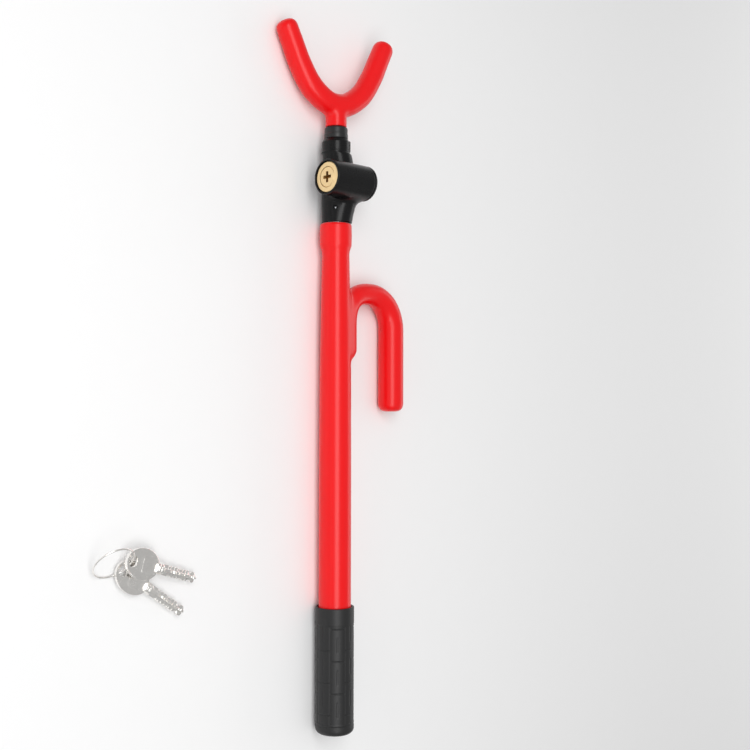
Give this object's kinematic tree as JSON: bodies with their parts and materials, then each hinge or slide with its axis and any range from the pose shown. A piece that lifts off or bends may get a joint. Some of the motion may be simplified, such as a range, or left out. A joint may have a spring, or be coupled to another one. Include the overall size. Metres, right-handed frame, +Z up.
{
  "type": "steering wheel lock",
  "caption": "Telescopic steering wheel lock: vinyl-coated tube with welded hook, cast head with offset key cylinder, grooved sliding rod with fork, ribbed grip, loose keys on a ring",
  "frame": {"origin": "bottom centre of the box around the lock as it lies on a floor with its keys beside it", "axes": "+Y along the main tube towards the fork, +X towards the hook, +Z up; the key cylinder's axis is parallel to X and its keyhole faces -X"},
  "size_m": [0.2824, 0.5358, 0.0431],
  "materials": {
    "red_vinyl": "dipped vinyl, satin gloss",
    "black_paint": "satin black paint on a casting",
    "grip_rubber": "matte moulded rubber",
    "black_plastic": "moulded",
    "brass": "turned, bright",
    "chrome": "bright plated",
    "steel": "plain machined steel",
    "spring_steel": "drawn wire and stamped clips",
    "nickel": "nickel plated"
  },
  "bodies": {
    "frame": {"outer_tube": "steel", "hook_bar": "steel", "frame_coat": "red_vinyl", "tube_plug": "black_plastic", "grip": "grip_rubber", "head_casting": "black_paint", "rear_cap": "black_paint", "spigot_sleeve": "steel", "head_pin": "steel", "neck_bush": "black_plastic", "wiper_ring": "grip_rubber", "lock_barrel": "brass", "bolt_carrier": "steel", "bolt_spring": "spring_steel", "driver_pin_1": "steel", "driver_pin_2": "steel", "driver_pin_3": "steel", "driver_pin_4": "steel", "pin_spring_1": "spring_steel", "pin_spring_2": "spring_steel", "pin_spring_3": "spring_steel", "pin_spring_4": "spring_steel"},
    "plug": {"lock_plug": "brass", "plug_circlip": "spring_steel", "tail_cam": "steel", "key_pin_1": "brass", "key_pin_2": "brass", "key_pin_3": "brass", "key_pin_4": "brass"},
    "bolt": {"locking_bolt": "steel"},
    "stop_ring": {"rod_stop": "steel"},
    "rod_and_fork": {"ratchet_rod": "chrome", "stop_clip": "spring_steel", "fork_bar": "steel", "fork_coat": "red_vinyl"},
    "ring": {"key_ring": "nickel"},
    "first_key": {"key_1": "nickel"},
    "second_key": {"key_2": "nickel"}
  },
  "joints": [
    {"name": "rod_slide", "type": "slide", "parent": "frame", "child": "stop_ring", "axis": [0, 1, 0], "range_m": [0, 0.24]},
    {"name": "rod_spin", "type": "hinge", "parent": "stop_ring", "child": "rod_and_fork", "pos_m": [0.06499, 0, 0.0147], "axis": [0, 1, 0], "continuous": true},
    {"name": "plug_turn", "type": "hinge", "parent": "frame", "child": "plug", "pos_m": [0.04899, 0.1486, 0.0297], "axis": [1, 0, 0], "range_deg": [0, 90]},
    {"name": "bolt_lift", "type": "slide", "parent": "frame", "child": "bolt", "axis": [0, 0, 1], "range_m": [0, 0.0018], "deforming": ["bolt_spring"]},
    {"name": "keys_lift", "type": "slide", "parent": "frame", "child": "ring", "axis": [0, 0, 1], "range_m": [0, 0.08]},
    {"name": "first_key_swing", "type": "hinge", "parent": "ring", "child": "first_key", "pos_m": [-0.11251, -0.1215, 0.01043], "axis": [0, 0, 1], "range_deg": [-3, 30]},
    {"name": "second_key_swing", "type": "hinge", "parent": "ring", "child": "second_key", "pos_m": [-0.1158, -0.12799, 0.00416], "axis": [0, 0, 1], "range_deg": [-30, 3]}
  ],
  "couplings": [
    {"joint": "bolt_lift", "follows": "plug_turn", "m_per_rad": 0.001145}
  ]
}
